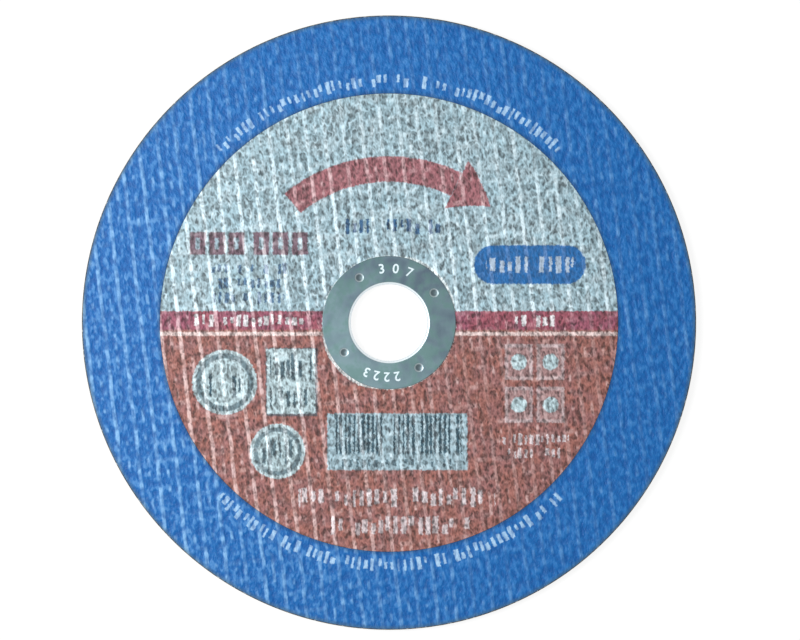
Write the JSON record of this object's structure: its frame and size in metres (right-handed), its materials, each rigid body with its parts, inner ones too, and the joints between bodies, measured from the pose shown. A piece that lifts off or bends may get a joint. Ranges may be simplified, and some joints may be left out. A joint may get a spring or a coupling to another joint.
{
  "type": "cut-off wheel",
  "caption": "Thin round abrasive cut-off wheel with a woven mesh relief, a printed paper label and a flanged steel bush in its arbor bore.",
  "frame": {"origin": "on the axis of the arbor bore, in the plane that the back of the wheel lies on", "axes": "+Z along the wheel's axis towards the label, +Y to the top of the label, +X to its right"},
  "size_m": [0.178, 0.178, 0.0033],
  "materials": {
    "abrasive": "rough pressed abrasive with a blue front facing",
    "label_paper": "matt printed paper pressed into the mesh",
    "bush_steel": "dull plated sheet"
  },
  "bodies": {
    "root": {"abrasive_disc": "abrasive", "label": "label_paper", "arbor_bush": "bush_steel"}
  },
  "joints": []
}
